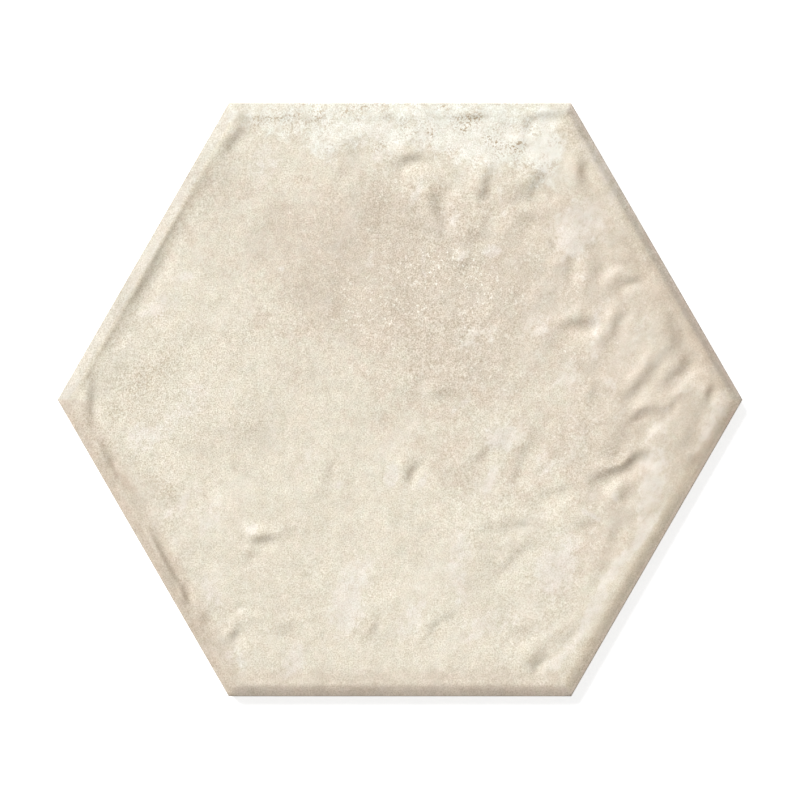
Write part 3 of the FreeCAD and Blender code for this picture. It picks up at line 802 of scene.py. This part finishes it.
# places where it is paler and cooler: partly paler glaze, partly painted highlights on slopes that
# face the key light, beside the folds and on the pimple
PALE_AND_HIGHLIT_PATCHES = [Patch(*row) for row in (
    (-82, 31, 40, 6, 4, 0.65),
    (-40, 44, 0, 0.9, 0.8, 0.95),
    (-73, 41.5, 20, 3.5, 1.8, 0.6),
    (-25, 87, 90, 5.5, 3.2, 0.7),
    (-45, 80, 60, 9, 6, 0.45),
    (-6, 82.5, 20, 4.5, 2.4, 0.7),
    (1.5, 88.5, 30, 6, 3.6, 0.3),
    (-5, 76, 20, 4, 2.2, 0.5),
    (4, 67.5, 60, 8, 1.8, 0.6),
    (-8, 47, 40, 5, 3, 0.4),
    (-72, -2, 50, 12, 5, 0.5),
    (-86, -13, 30, 7, 4, 0.65),
    (-74, -34, 32, 8, 2.5, 0.6),
    (-64, -40, 60, 8, 4, 0.5),
    (-50.2, -43.6, 20, 2.4, 1.6, 0.9),
    (-64, -64, 110, 7, 3.5, 0.6),
    (-17, -68, 75, 12, 6, 0.95),
    (-12, -56, 30, 5, 3, 0.6),
    (-36, -88, 60, 6, 4, 0.8),
    (-54, -87, 0, 6, 4, 0.55),
    (-2.8, -25.6, 70, 4.4, 2.6, 0.9),
    (7, -27.2, 70, 2.8, 1.4, 0.8),
    (-20.8, -28.2, 60, 2, 1.4, 0.7),
    (-31, -20, 60, 8, 4, 0.4),
    (4, -74, 45, 8, 4, 0.65),
    (53, -56, 70, 11, 7.5, 0.8),
    (20, -56, 90, 14, 4, 0.6),
    (30, -76, 20, 12, 5, 0.5),
    (34.5, -12.5, 20, 6.5, 4.4, 0.95),
    (30.8, -26, 66, 7.5, 2, 0.8),
    (21.5, -1.5, 60, 3.2, 1.6, 0.7),
    (18.5, -4, 70, 2.2, 1.4, 0.7),
    (60, -14, 60, 10, 5, 0.35),
    (48, -23, 60, 7, 3.5, 0.45),
    (64.5, -38.8, 150, 4.4, 1, 0.8),
    (47, 25, 15, 6, 3.4, 0.55),
    (27, 21, 0, 9, 6, 0.3),
    (57, 8, 50, 7, 4.5, 0.4),
    (18.3, 62.5, 92, 4.8, 2.3, 0.7),
    (34, 66.5, 88, 5.5, 1.6, 0.5),
    (61, 58, 30, 12, 8, 0.6),
    (57, 52, 95, 5, 4, 0.6),
    (61, 42, 85, 5, 2.5, 0.2),
    (31, 50.5, 30, 3.2, 2, 0.8),
    (21.5, 48, 40, 3, 1.8, 0.6),
    (8.2, 47.5, 92, 5.5, 1.3, 0.5),
    (65.4, 22, 93, 10, 2.4, 0.45),
    (80.5, 22, 80, 9, 4.5, 0.25),
    (69, 31, 60, 4, 2.5, 0.5),
    (72, 6, 30, 5, 3.5, 0.3),
    (96, 3, 55, 9, 5, 0.25),
    (86, -9.5, 60, 6.5, 3.4, 0.4),
    (104.4, -9.6, 59, 9, 2.4, 0.72),
    (106, -3, 57, 6, 2.6, 0.45),
    (84.5, -27.5, 72, 13, 4.6, 0.75),
    (72.6, -32, 75, 2.4, 1.1, 0.8),
    (81.5, -45, 52, 10, 2.4, 0.8),
    (71.5, -58, 60, 10, 2, 0.85),
    (64.5, -71, 60, 10, 2, 0.85),
    (57.5, -83, 57, 8, 2.4, 0.6),
    (51.5, -89.5, 35, 5, 2.8, 0.6),
    (66.4, 79.8, 120, 20, 3, 0.55),
)]
# and places where it is darker: partly darker glaze, partly painted shade in the folds and grooves
# and on the far side of the pimple
SHADE_AND_DARK_PATCHES = [Patch(*row) for row in (
    (2.5, 80.6, 40, 5, 2.6, 0.6),
    (48, 94.6, 12, 8, 2, 0.55),
    (-91, 36, 60, 7, 4, 0.4),
    (75, -17, 33, 8, 3.4, 0.4),
    (35, -49, 30, 7, 5, 0.4),
    (49, 34, 20, 7, 5, 0.35),
    (91, 2, 60, 8, 5, 0.3),
    (-46, 53, 20, 9, 6, 0.8),
    (-39, 66, 30, 7, 5, 0.55),
    (-34, 40, 60, 8, 5, 0.45),
    (-21, 33, 85, 11, 4, 0.7),
    (-19, 52, 90, 8, 4, 0.45),
    (-8, 64, 60, 7, 4.5, 0.6),
    (-1, 48, 60, 7, 4, 0.5),
    (-90, 10, 10, 8, 5, 0.5),
    (-78, 17, 70, 7, 4, 0.3),
    (-60, 44, 20, 6, 3, 0.4),
    (-15.5, 87.6, 14, 4.8, 2, 0.6),
    (-17, 82, 60, 6, 3.5, 0.5),
    (-5, 95, 30, 3.6, 1.7, 0.7),
    (35, 94, 80, 4, 2.6, 0.4),
    (23, 88, 10, 4, 2.4, 0.3),
    (42, 89.5, 80, 3.6, 1.2, 0.5),
    (-65, -15, 10, 11, 6, 0.5),
    (-48, -8, 100, 10, 5, 0.4),
    (-80, -31, 150, 8, 3.6, 0.6),
    (-55, -43.5, 100, 4.4, 1.7, 0.7),
    (-35, -44, 20, 6, 3.2, 0.6),
    (-18, -45, 45, 3, 2.2, 0.5),
    (-44, -64, 110, 12, 5, 0.55),
    (-40, -78, 10, 5, 2.6, 0.5),
    (0, -4, 30, 10, 6, 0.35),
    (13.5, 1.5, 20, 5, 2.6, 0.65),
    (20, -26, 60, 8, 6, 0.6),
    (30, -55, 70, 9, 4, 0.4),
    (3, 59, 0, 3, 2.2, 0.5),
    (20.2, 44.6, 20, 3.2, 2, 0.7),
    (27, 55, 20, 4.2, 2.4, 0.6),
    (43, 60, 40, 4.6, 3.2, 0.6),
    (46, 72.5, 33, 9, 4, 0.55),
    (12, 67, 100, 6.5, 3.6, 0.55),
    (61, 77, 90, 5, 2, 0.6),
    (29.5, 72, 90, 5, 2.6, 0.4),
    (47, 10, 80, 7, 4, 0.4),
    (58.5, 29, 20, 4.4, 3, 0.7),
    (71, 18, 0, 3, 2, 0.5),
    (89.8, 24, 100, 6, 3.5, 0.6),
    (74, -15, 80, 6.5, 4, 0.65),
    (98.2, -19.2, 70, 3.6, 1.8, 0.9),
    (72, -38, 10, 5, 2.4, 0.5),
    (68, -55, 65, 9, 2.4, 0.6),
    (4, -24, 70, 3, 1.4, 0.7),
    (44.8, -87.4, 48, 4.6, 3, 0.95),
    (52.5, -79.5, 43, 9, 1.8, 0.6),
    (45.2, -88, 30, 2.2, 1.6, 0.8),
    (57.5, -71.5, 57, 9, 2.4, 0.45),
    (30, -89, 0, 15, 4, 0.35),
    (41, 36, 10, 15, 7, 0.45),
    (39, -41, 20, 14, 10, 0.35),
    (48, -75, 40, 10, 5, 0.35),
    (75, -21.5, 33, 9, 3.4, 0.6),
    (-33, -38, 20, 12, 8, 0.25),
    (-7, 91, 20, 7, 4, 0.7),
    (-75, 56, 60, 14, 4, 0.3),
    (-79.5, 45, 60, 13, 1.6, 0.5),
    (-22, 14, 60, 12, 7, 0.35),
    (93, 14.5, 60, 9, 5, 0.5),
    (97, -5, 50, 8, 4, 0.45),
    (78, 3, 60, 7, 4, 0.3),
    (78, -9, 60, 7, 5, 0.45),
    (-46.6, -46.4, 10, 4, 1.7, 0.6),
    (-50.6, -52.2, 40, 3, 2.4, 0.6),
    # painted shade in the groove inside the left rim
    (-53.5, 91.8, 45, 4.2, 3.2, 0.95),
    (-58, 86.5, 58, 4.6, 1.8, 0.85),
    (-55.4, 90.4, 52, 6.5, 2.8, 0.6),
    (-87.4, 38, 61, 9, 1.5, 0.8),
    (-99.8, 17.6, 61, 14, 1.7, 0.8),
    (-103.4, 3, 92, 9, 2, 0.8),
    (-97.4, -21.2, 113, 6, 1.6, 0.9),
    (-82, -48.5, 119, 6, 1.2, 0.8),
    (-76.6, -57.8, 119, 8, 1.9, 0.9),
    (-72.2, -66.8, 109, 4.4, 2.2, 0.95),
    (-66.8, -75, 120, 4, 2, 0.8),
    (-61.5, -83.5, 120, 4, 1.8, 0.5),
)]
# clusters of brown specks
BROWN = [Patch(*row) for row in (
    (-94, -5, 20, 6, 4, 0.5),
    (40.4, 86, 10, 3.4, 2.2, 1),
    (29, 88.2, 20, 2, 1.3, 0.95),
    (33, 86, 0, 1.6, 1.2, 0.8),
    (21, 91.6, 20, 2, 1.3, 0.95),
    (10.2, 90.4, 0, 1.7, 1.3, 0.95),
    (23.5, 95.2, 5, 5, 1.5, 0.9),
    (14, 98.2, 0, 1.8, 1.1, 0.9),
    (17, 83.5, 30, 3.4, 2, 0.7),
    (-38, 95, 3, 13, 1.4, 0.4),
    (-34, 98.6, 0, 3, 1, 0.9),
    (-12, 98.2, 0, 2, 1, 0.9),
    (-18, 97, 20, 2.4, 1.5, 0.9),
    (-27.5, 95.6, 40, 2.4, 1.4, 0.9),
    (-7.5, 85, 40, 3.8, 2.2, 0.8),
    (-34, 73.5, 40, 3, 2, 0.6),
    (-82.5, 26.5, 40, 6, 1.6, 0.7),
    (-82, 9, 30, 8, 5, 0.6),
    (-90, 4, 20, 6, 4, 0.5),
    (-80, -29, 150, 6.5, 3, 0.65),
    (-57, 43, 30, 4, 2, 0.5),
    (-65, -80.5, 60, 3, 1.2, 0.5),
    (-42, -78, 10, 5, 2.5, 0.5),
    (43, -59, 0, 1.7, 1.3, 0.7),
    (63, -67, 0, 2.2, 1.3, 0.6),
    (75, -45, 60, 3, 2, 0.5),
)]
# and of pale crumbs
PALE = [Patch(*row) for row in (
    (35.5, -83, 20, 5, 3.2, 0.95),
    (62, -11, 20, 4.6, 2.6, 0.9),
    (29, -33, 38, 8, 3, 0.8),
    (46, -36, 30, 9, 4, 0.5),
    (46, -92, 10, 4, 2, 0.8),
    (-4, -66, 15, 9, 3, 0.6),
    (-12, -81.5, 30, 4, 2, 0.7),
    (-66, -37, 20, 8, 3, 0.6),
    (12, 44, 30, 16, 7, 0.55),
    (26, 38, 20, 14, 8, 0.55),
    (-8, 30, 10, 14, 8, 0.4),
    (57, 12, 80, 8, 3.5, 0.6),
    (68, 8, 60, 8, 4, 0.45),
    (77, 27, 70, 9, 4, 0.45),
    (68, -30, 60, 8, 5, 0.5),
    (14, -36, 20, 12, 4, 0.4),
    (-84, -33, 60, 6, 3, 0.4),
)]
# where the grain of the glaze is smoothed out
SMOOTH = [Patch(*row) for row in (
    (88, 10, 110, 44, 22, 0.75),
    (88, -26, 60, 46, 14, 0.85),
    (66, 62, 120, 30, 14, 0.6),
    (0, -98, 0, 60, 6, 0.5),
    (-84, -52, 120, 50, 6, 0.3),
    (72, -62, 60, 40, 8, 0.45),
    (-89, -28, 115, 9, 4.5, 0.9),
    (47.5, 85, 95, 9, 6, 0.9),
)]
# and where it is coarser
GRITTY = [Patch(*row) for row in (
    (12, 36, 95, 40, 24, 0.9),
    (-74, 2, 30, 30, 26, 0.8),
    (-30, 20, 0, 30, 20, 0.4),
    (10, 94, 0, 60, 10, 0.25),
)]


TONES = {
    "sand": SAND,
    "frost": FROST,
    "light": PALE_AND_HIGHLIT_PATCHES,
    "dark": SHADE_AND_DARK_PATCHES,
    "brown": BROWN,
    "pale": PALE,
    "smooth": SMOOTH,
    "gritty": GRITTY,
}

# How far the outline of a patch follows the ragged grid; 1 where it isn't given.
RAGGEDNESS = {"frost": 0.5, "light": 0.2, "dark": 0.2, "brown": 0.2, "pale": 0.2}
DEEPEST_CREASE = 0.19  # the fold at which a crease gets its full painted shade


def tone(patches, x, y):
    """How much of one tone each point has: the patches laid over each other."""
    left_out = np.ones_like(x)
    for patch in patches:
        along, left = oval_frame(patch, x, y)
        reach = along * along + left * left
        left_out *= 1 - patch.strength * fade(reach * np.sqrt(reach))
    return 1 - left_out


def crease_shade(x, y):
    """How much painted shade each point gets from the creases."""
    total = np.zeros_like(x)
    for crease in CREASES:
        along, left = oval_frame(crease, x, y)
        total += crease.fold * fade(along * along + left * left)
    return np.clip(total / DEEPEST_CREASE, 0.0, 1.0)


def add_tones(mesh):
    """Stores the tones of the glaze, painted shade and highlights among them, on the points of the
    mesh.
    """
    places = np.empty(3 * len(mesh.vertices))
    mesh.vertices.foreach_get("co", places)
    x = places[0::3] / MM
    y = places[1::3] / MM
    off_x = layered(RAGGED_X, x, y)
    off_y = layered(RAGGED_Y, x, y)
    # the mask of painted shade in the creases
    stored = {"creases": crease_shade(x, y)}
    for name, patches in TONES.items():
        share = RAGGEDNESS.get(name, 1.0)
        stored[name] = tone(patches, x + share * off_x, y + share * off_y)
    for name, values in stored.items():
        layer = mesh.attributes.new(name, "FLOAT", "POINT")
        layer.data.foreach_set("value", values.astype(np.float32))


# The paints of the glaze and of the body below it, as on screen.
CREAM = (233, 224, 205)
SANDY = (222, 209, 190)
# the next paint is partly a paler glaze and partly painted highlight
PALE_AND_HIGHLIT_PAINT = (240, 232, 221)
CALM = (240, 232, 219)
FROSTED = (250, 247, 235)
CRUMB = (188, 167, 138)
FLECK = (248, 242, 226)
BODY_DARK = (196, 186, 171)
BODY_PALE = (214, 206, 192)
BODY_SPECK = (140, 128, 112)
BODY_DUST = (226, 222, 214)

# How much of a paint is laid on at most.
PALE_AND_HIGHLIT_SHARE = 0.62
CALM_SHARE = 0.2
FROST_SHARE = 0.86
CRUMB_SHARE = 0.75
FLECK_SHARE = 0.42
PALE_FLECKS = 0.9
FROST_CRUMBS = 0.6
DUST_SHARE = 0.7

# The tint of the darker glaze and of the painted shade, the painted shade in the creases, and how
# much thinner the side tints are where the glaze is paler and painted highlights lie.
SHADE_AND_DARK_TINT = (0.90, 0.89, 0.88)
CREASE_SHADE = (0.84, 0.80, 0.77)
THINNER_WHERE_HIGHLIT = 0.45

# How ragged the noises make the edges of the paints, and of a side tint by the width of its edge.
SAND_RAGGED = 2.0
PALE_AND_HIGHLIT_RAGGED = {"vein": 1.5, "blot": 1.2}
FROST_RAGGED = 1.4
SIDE_RAGGED = 1.2
BODY_RAGGED = 0.8
BODY_BLUR = 0.15  # half the height over which the body takes over from the glaze

# How strong the grain is, and what each tone and noise adds to that.
GRAIN = 0.84
GRAIN_BY = {"gritty": 0.4, "smooth": -0.5, "wiped": -0.25, "calm": -0.25, "frost": -0.25}

# What each noise adds to the fine and to the slow shading, and the strength by channel of these,
# and of the drift in hue from rust to straw, which gets no lighter or darker.
FINE_BY = {"grain": 0.9, "grit": 0.34, "blot": 0.28}
FINE_CHANNELS = (0.89, 1.0, 1.18)
SLOW_BY = {"mottle": 0.22, "cloud": 0.26, "vein": 0.24}
SLOW_CHANNELS = (0.95, 1.0, 1.08)
RUST_CHANNELS = (0.10, -0.075, -0.04)
STRAW_CHANNELS = (0.0, 0.0, -0.15)

BRUSH_HEADING = 58.0  # the brush marks run along this, in degrees
BRUSH_STRETCH = 1.8

# The roughness of the shine, and what the mottle, the frost and the bare body add to it.
DULL = 0.52
DULL_MOTTLE = 0.25
DULL_FROST = 0.1
DULL_BODY = 0.38
GLAZE_IOR = 1.5

# How deep the bump of each noise is, in millimetres.
SKIN_GRAIN = 0.02
SKIN_GRIT = 0.03
SKIN_BLOT = 0.04


def weighted(graph, on, weights):
    """The sum of some noises, each taken from its middle and by its weight."""
    return graph.add(*(graph.about(getattr(on, name), weight) for name, weight in weights.items()))


def surface_fields(graph, point):
    """The stored tones and the noises of the glaze, by name; sizes in millimetres."""
    on = SimpleNamespace(creases=graph.attribute("creases"))
    for name in TONES:
        setattr(on, name, graph.attribute(name))
    brush = brushed(graph, point, BRUSH_HEADING, BRUSH_STRETCH)
    on.cloud = graph.noise(point, size=16.0, detail=3.0, roughness=0.6)
    on.mottle = graph.noise(point, size=6.0, detail=3.0, roughness=0.65)
    on.vein = graph.noise(brush, size=3.2, detail=2.0, roughness=0.7, seed=3.0)
    on.blot = graph.noise(point, size=2.4, detail=2.0, roughness=0.6)
    on.grit = graph.noise(point, size=1.05, detail=1.0, roughness=0.6)
    on.grain = graph.noise(point, size=0.44, detail=0.0, roughness=0.5)
    on.crumb = graph.noise(point, size=0.8, detail=1.0, roughness=0.7)
    on.cluster = graph.noise(point, size=7.5, detail=2.0, roughness=0.6, seed=5.0)
    on.rust = graph.noise(point, size=4.5, detail=4.0, roughness=0.8, seed=7.0)
    on.straw = graph.noise(point, size=4.5, detail=4.0, roughness=0.8, seed=9.0)
    on.wipe = graph.noise(brush, size=9.0, detail=2.0, roughness=0.6, seed=11.0)
    return on


def add_grades(graph, on):
    """Adds the sandy glaze, the paler glaze with painted highlights, the calm glaze and the grain
    strength.
    """
    uneven = graph.add(on.sand, graph.about(on.mottle, SAND_RAGGED))
    on.sandy = graph.ease(uneven, start=0.22, full=0.66)
    uneven = graph.add(on.light, weighted(graph, on, PALE_AND_HIGHLIT_RAGGED))
    near_light = graph.ease(on.light, start=0.0, full=0.2)
    on.wiped = graph.times(graph.ease(uneven, start=0.1, full=0.85), near_light)
    on.calm = graph.ease(on.wipe, start=0.52, full=0.66)
    parts = [graph.times(getattr(on, name), by) for name, by in GRAIN_BY.items()]
    on.rough = graph.add(GRAIN, *parts)


def lay_glaze(graph, on):
    """The slow tones: sand and cream, paler glaze with painted highlights, frost, darker glaze with
    painted shade.
    """
    colour = graph.mix(on.sandy, linear(CREAM), linear(SANDY))
    # paler glaze and painted highlights laid on
    colour = graph.laid_over(colour, graph.times(on.wiped, PALE_AND_HIGHLIT_SHARE), PALE_AND_HIGHLIT_PAINT)
    colour = graph.laid_over(colour, graph.times(on.calm, CALM_SHARE), CALM)
    uneven = graph.add(on.frost, graph.about(on.blot, FROST_RAGGED))
    frosted = graph.ease(uneven, start=0.2, full=0.9)
    colour = graph.laid_over(colour, graph.times(frosted, FROST_SHARE), FROSTED)
    # painted shade of the folds and grooves, laid on with the darker glaze
    return graph.tinted(colour, on.dark, SHADE_AND_DARK_TINT)


def tint_and_shade_sides(graph, on, point, colour):
    """The side tints, with their painted shade and highlights, thinner where paler glaze and painted
    highlights lie.
    """
    # the side tints, painted shade and highlights included, are weaker where the paler glaze and
    # painted highlights lie
    less_where_highlit = graph.less(1.0, graph.times(on.light, THINNER_WHERE_HIGHLIT))
    for angle, tints in SIDE_TINTS_AND_SHADING.items():
        inside, sector = side_frame(graph, point, angle)
        for full, end, tint in tints:
            ragged = graph.add(inside, graph.about(on.mottle, SIDE_RAGGED * (end - full)))
            band = graph.ease(ragged, start=end, full=full)
            colour = graph.tinted(colour, graph.times(band, sector, less_where_highlit), tint)
    return colour


def add_specks(graph, on, colour):
    """Painted shade in the creases, brown crumbs and pale flecks."""
    # painted shade in the creases
    colour = graph.tinted(colour, on.creases, CREASE_SHADE)
    in_frost = graph.ease(on.frost, start=0.15, full=0.5)
    crumbs = graph.times(in_frost, graph.ease(on.cluster, start=0.44, full=0.62), FROST_CRUMBS)
    crumbs = graph.times(graph.add(crumbs, on.brown), graph.ease(on.crumb, start=0.50, full=0.60))
    colour = graph.laid_over(colour, graph.times(crumbs, CRUMB_SHARE), CRUMB)
    in_sand = graph.ease(on.sandy, start=0.1, full=0.7)
    flecks = graph.times(graph.ease(on.cluster, start=0.36, full=0.62), in_sand, FLECK_SHARE)
    flecks = graph.add(flecks, graph.times(on.pale, PALE_FLECKS))
    flecks = graph.times(flecks, graph.ease(on.grit, start=0.57, full=0.7))
    return graph.laid_over(colour, graph.times(flecks, on.rough), FLECK)


def shade(graph, on, colour):
    """The fine and the slow shading, and the drift in hue."""
    fine = graph.times(weighted(graph, on, FINE_BY), on.rough)
    colour = graph.shaded(colour, fine, FINE_CHANNELS)
    colour = graph.shaded(colour, weighted(graph, on, SLOW_BY), SLOW_CHANNELS)
    colour = graph.shaded(colour, graph.about(on.rust), RUST_CHANNELS)
    return graph.shaded(colour, graph.about(on.straw), STRAW_CHANNELS)


def body_colour(graph, on, height):
    """The bare porcelain of the lower side and the back: grainy, specked, dusty on the land."""
    body = graph.mix(graph.ease(on.grit, start=0.4, full=0.62), linear(BODY_DARK), linear(BODY_PALE))
    body = graph.laid_over(body, graph.ease(on.grain, start=0.7, full=0.76), BODY_SPECK)
    on_land = graph.ease(height, start=0.12, full=0.0)
    dust = graph.times(on_land, graph.ease(on.mottle, start=0.35, full=0.65), DUST_SHARE)
    return graph.laid_over(body, dust, BODY_DUST)


def skin_normal(graph, on):
    """The bump of the glaze, which is finer than the mesh."""
    bump = graph.nodes.new("ShaderNodeBump")
    bump.inputs["Distance"].default_value = MM
    bump.inputs["Strength"].default_value = 1.0
    grain = graph.times(on.grain, on.rough, SKIN_GRAIN)
    skin = graph.add(grain, graph.times(on.grit, SKIN_GRIT), graph.times(on.blot, SKIN_BLOT))
    graph.put(bump.inputs["Height"], skin)
    return bump.outputs["Normal"]


def make_glaze():
    """Cream, sand and frosted white glaze over a bare porcelain body."""
    material = bpy.data.materials.new("glazed_porcelain")
    material.use_nodes = True
    graph = Graph(material)
    shader = graph.nodes["Principled BSDF"]
    point = millimetres(graph)
    on = surface_fields(graph, point)
    add_grades(graph, on)
    colour = lay_glaze(graph, on)
    colour = tint_and_shade_sides(graph, on, point, colour)
    colour = add_specks(graph, on, colour)
    colour = shade(graph, on, colour)
    height = graph.along(point, (0.0, 0.0, 1.0))
    uneven = graph.add(height, graph.about(on.blot, BODY_RAGGED))
    below = graph.ease(uneven, start=GLAZE_LINE + BODY_BLUR, full=GLAZE_LINE - BODY_BLUR)
    colour = graph.mix(below, colour, body_colour(graph, on, height))
    graph.put(shader.inputs["Base Color"], colour)
    dull = graph.add(DULL, graph.about(on.mottle, DULL_MOTTLE), graph.times(on.frost, DULL_FROST))
    roughness = graph.math("ADD", dull, graph.times(below, DULL_BODY), clamp=True)
    graph.put(shader.inputs["Roughness"], roughness)
    shader.inputs["IOR"].default_value = GLAZE_IOR
    graph.put(shader.inputs["Normal"], skin_normal(graph, on))
    return material


FLOOR_REACH = 4.0  # in metres
FLOOR_LEVEL = -0.02 * MM  # a hair below the back, so that the two don't share a plane
FLOOR_COLOUR = (0.86, 0.86, 0.86, 1.0)
FLOOR_GLOW = 0.72  # makes the floor white where it is seen, and leaves the shadow on it
WHITE = (1.0, 1.0, 1.0, 1.0)


def make_floor_white():
    """The plain white of the floor."""
    material = bpy.data.materials.new("floor_white")
    material.use_nodes = True
    graph = Graph(material)
    shader = graph.nodes["Principled BSDF"]
    shader.inputs["Base Color"].default_value = FLOOR_COLOUR
    shader.inputs["Roughness"].default_value = 0.9
    shader.inputs["Specular IOR Level"].default_value = 0.1
    shader.inputs["Emission Color"].default_value = WHITE
    rays = graph.nodes.new("ShaderNodeLightPath").outputs
    seen = graph.math("MAXIMUM", rays["Is Camera Ray"], rays["Is Glossy Ray"])
    seen = graph.math("MAXIMUM", seen, rays["Is Transmission Ray"])
    graph.put(shader.inputs["Emission Strength"], graph.times(seen, FLOOR_GLOW))
    return material


def make_floor():
    """A plain white floor that keeps the tile's shadow."""
    mesh = bpy.data.meshes.new("floor")
    corners = [(-1, -1), (1, -1), (1, 1), (-1, 1)]
    places = [(FLOOR_REACH * x, FLOOR_REACH * y, FLOOR_LEVEL) for x, y in corners]
    mesh.from_pydata(places, [], [(0, 1, 2, 3)])
    mesh.materials.append(make_floor_white())
    floor = bpy.data.objects.new("floor", mesh)
    bpy.context.scene.collection.objects.link(floor)


KEY_AZIMUTH = 130.0  # where the key light comes from, in degrees from +X
KEY_HEIGHT = 50.0
KEY_SOFTNESS = 24.0  # how wide the key light is, in degrees
KEY_DISTANCE = 2.0
FILL = 0.22


def light_scene():
    """One soft key from the upper left over an even fill."""
    azimuth = math.radians(KEY_AZIMUTH)
    height = math.radians(KEY_HEIGHT)
    across = math.cos(height)
    towards = Vector((math.cos(azimuth) * across, math.sin(azimuth) * across, math.sin(height)))
    lamp = bpy.data.lights.new("key", "SUN")
    lamp.energy = (1 - FILL) * math.pi / math.sin(height)
    lamp.angle = math.radians(KEY_SOFTNESS)
    key = bpy.data.objects.new("key", lamp)
    key.rotation_euler = towards.to_track_quat("Z", "Y").to_euler()
    key.location = towards * KEY_DISTANCE
    bpy.context.scene.collection.objects.link(key)
    world = bpy.data.worlds.new("studio")
    bpy.context.scene.world = world
    world.use_nodes = True
    sky = world.node_tree.nodes["Background"]
    sky.inputs["Color"].default_value = WHITE
    sky.inputs["Strength"].default_value = FILL


VIEW_WIDTH = 269.6  # what the picture is wide, at the level of the outline
SENSOR_WIDTH = 36.0
CAMERA_HEIGHT = 2.0  # above the outline, in metres
CAMERA_SIDE = -0.0001  # a hair off the middle, so that the camera has a heading from the tile


def place_camera():
    """Straight above the tile, with a long lens."""
    data = bpy.data.cameras.new("camera")
    data.sensor_width = SENSOR_WIDTH
    data.lens = SENSOR_WIDTH * CAMERA_HEIGHT / (VIEW_WIDTH * MM)
    camera = bpy.data.objects.new("camera", data)
    outline_level = (THICKNESS - CUSHION_DROP) * MM
    camera.location = (0.0, CAMERA_SIDE, CAMERA_HEIGHT + outline_level)
    bpy.context.scene.collection.objects.link(camera)
    bpy.context.scene.camera = camera


tile = build_tile()
add_tones(tile.data)
tile.data.materials.append(make_glaze())
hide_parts("hexagon_tile")
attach(tile, "root")
make_floor()
light_scene()
place_camera()
bpy.context.scene.view_settings.view_transform = "Standard"
